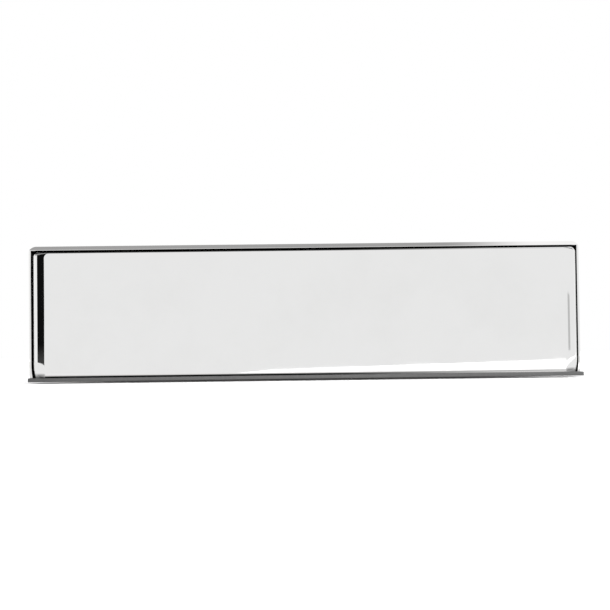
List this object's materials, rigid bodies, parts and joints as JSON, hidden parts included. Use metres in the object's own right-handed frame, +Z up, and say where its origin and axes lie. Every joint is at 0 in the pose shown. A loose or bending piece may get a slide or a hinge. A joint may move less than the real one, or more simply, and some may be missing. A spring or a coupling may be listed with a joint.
{
  "type": "letter plate",
  "caption": "Long rectangular chrome letter plate with a sprung outward flap and finger lip, a telescopic duct through the door and a sprung inner flap.",
  "frame": {"origin": "centre of the letter slot, on the door's outer face", "axes": "+X to the right seen from outside the door, +Y through the door into the house, +Z up"},
  "size_m": [0.3103, 0.0845, 0.076],
  "materials": {
    "chrome": "mirror-polished chrome plate",
    "steel": "bright zinc-plated steel",
    "spring_steel": "drawn spring wire",
    "rubber": "soft black rubber",
    "foam": "closed-cell foam",
    "duct": "moulded satin black plastic",
    "nylon": "natural nylon",
    "brass": "turned brass"
  },
  "bodies": {
    "outer_set": {"outer_frame": "chrome", "outer_hinge_rod": "steel", "outer_rod_clip_left": "spring_steel", "outer_rod_clip_right": "spring_steel", "outer_bush_left": "nylon", "outer_bush_right": "nylon", "outer_spring_left": "spring_steel", "outer_spring_right": "spring_steel", "outer_buffer_left": "rubber", "outer_buffer_right": "rubber", "outer_sleeve": "duct", "outer_seal": "rubber", "outer_gasket": "foam", "fixing_pillar_left": "brass", "fixing_pillar_right": "brass"},
    "outer_flap": {"outer_flap": "chrome"},
    "inner_set": {"inner_frame": "chrome", "inner_hinge_rod": "steel", "inner_rod_clip_left": "spring_steel", "inner_rod_clip_right": "spring_steel", "inner_bush_left": "nylon", "inner_bush_right": "nylon", "inner_spring_left": "spring_steel", "inner_spring_right": "spring_steel", "inner_buffer_left": "rubber", "inner_buffer_right": "rubber", "inner_sleeve": "duct", "inner_seal": "rubber", "inner_gasket": "foam", "fixing_screw_left": "steel", "fixing_screw_right": "steel"},
    "inner_flap": {"inner_flap": "chrome"}
  },
  "joints": [
    {"name": "outer_flap_hinge", "type": "hinge", "parent": "outer_set", "child": "outer_flap", "pos_m": [0, -0.0125, 0.0289], "axis": [-1, 0, 0], "range_deg": [0, 90], "stiffness_Nm_per_rad": 0.05, "springref_deg": -34.38, "deforming": ["outer_spring_left", "outer_spring_right"]},
    {"name": "door_thickness_slide", "type": "slide", "parent": "outer_set", "child": "inner_set", "axis": [0, 1, 0], "range_m": [-0.006, 0.014]},
    {"name": "inner_flap_hinge", "type": "hinge", "parent": "inner_set", "child": "inner_flap", "pos_m": [0, 0.0565, 0.0289], "axis": [1, 0, 0], "range_deg": [0, 90], "stiffness_Nm_per_rad": 0.05, "springref_deg": -34.38, "deforming": ["inner_spring_left", "inner_spring_right"]}
  ]
}
